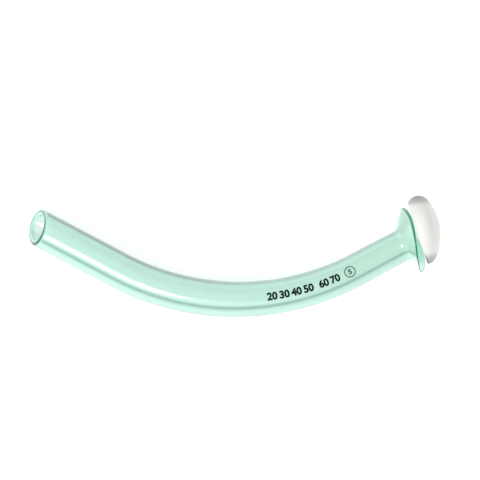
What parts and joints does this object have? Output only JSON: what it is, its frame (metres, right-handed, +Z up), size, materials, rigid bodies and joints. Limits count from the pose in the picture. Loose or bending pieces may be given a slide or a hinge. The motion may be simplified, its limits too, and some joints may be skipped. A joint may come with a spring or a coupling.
{
  "type": "nasopharyngeal airway",
  "caption": "Soft green nasal airway tube with a bevelled tip, a gentle bend and a wavy flared flange, with a white domed cap in its mouth.",
  "frame": {"origin": "middle of the footprint, on the table that the airway lies on", "axes": "+X along the length, from the tip to the flange; +Y towards the inside of the bend; +Z up"},
  "size_m": [0.1258, 0.0364, 0.0209],
  "materials": {
    "green_tube": "soft clear green, glossy",
    "white_cap": "smooth matt white"
  },
  "bodies": {
    "root": {"airway": "green_tube", "flange_cap": "white_cap"}
  },
  "joints": []
}
